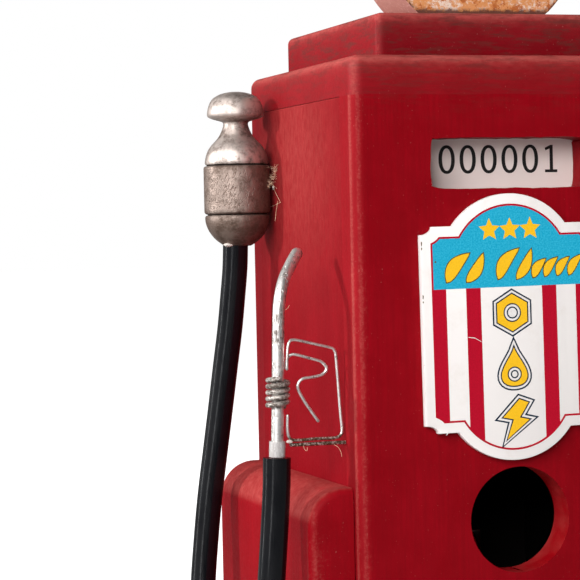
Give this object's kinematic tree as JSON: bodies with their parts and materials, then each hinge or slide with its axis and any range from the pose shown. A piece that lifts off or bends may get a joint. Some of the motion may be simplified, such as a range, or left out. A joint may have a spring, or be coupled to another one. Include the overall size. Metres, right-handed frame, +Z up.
{
  "type": "gas pump birdhouse",
  "caption": "Wooden nesting box shaped as an old petrol pump, with a round entry hole, number window, sign, disc globe, side hose and nozzle, and a clean-out door.",
  "frame": {"origin": "on the underside of the base board, under the middle of the box body", "axes": "+Z up, -Y out of the front with the window and entry hole, +X to the right seen from the front"},
  "size_m": [0.1713, 0.136, 0.3457],
  "materials": {
    "red_paint": "satin red paint over wood, rubbed lighter along the edges",
    "bare_wood": "unpainted softwood",
    "steel": "dull zinc",
    "silver_metal": "silver paint on wire, dark flecks",
    "silver_finial": "silver paint on turned wood, worn brown",
    "hose_rubber": "smooth black rubber",
    "clear_plastic": "milky clear tube",
    "card": "printed off-white card",
    "sign": "thin board with a printed face",
    "globe_paint": "white paint with rust stains"
  },
  "bodies": {
    "pump_body": {"base_board": "red_paint", "front_panel": "red_paint", "back_panel": "red_paint", "left_side_panel": "red_paint", "right_side_panel": "red_paint", "roof_board": "red_paint", "cap_block": "red_paint", "left_side_block": "red_paint", "right_side_block": "red_paint", "floor_panel": "bare_wood", "card_backer": "bare_wood", "globe_dowel": "bare_wood", "base_screw_left_front": "steel", "base_screw_left_back": "steel", "base_screw_right_front": "steel", "base_screw_right_back": "steel", "left_block_screw_upper": "steel", "left_block_screw_lower": "steel", "right_block_screw_upper": "steel", "right_block_screw_lower": "steel", "cap_screw_left": "steel", "cap_screw_right": "steel", "door_nail_left": "steel", "door_nail_right": "steel", "turn_button_screw": "steel", "wall_pin": "steel", "nozzle_rod": "silver_metal", "grip_coil": "silver_metal", "guard_wire": "silver_metal", "trigger_wire": "silver_metal", "hose_finial": "silver_finial", "hose": "hose_rubber", "clear_sleeve": "clear_plastic", "number_card": "card", "sign_board": "sign", "globe": "globe_paint"},
    "door": {"clean_out_door": "red_paint"},
    "button": {"turn_button": "bare_wood"}
  },
  "joints": [
    {"name": "door_swing", "type": "hinge", "parent": "pump_body", "child": "door", "pos_m": [0, 0.052, 0.088], "axis": [1, 0, 0], "range_deg": [0, 90]},
    {"name": "button_turn", "type": "hinge", "parent": "pump_body", "child": "button", "pos_m": [0.0365, 0.0605, 0.042], "axis": [0, 1, 0], "range_deg": [0, 90]}
  ]
}
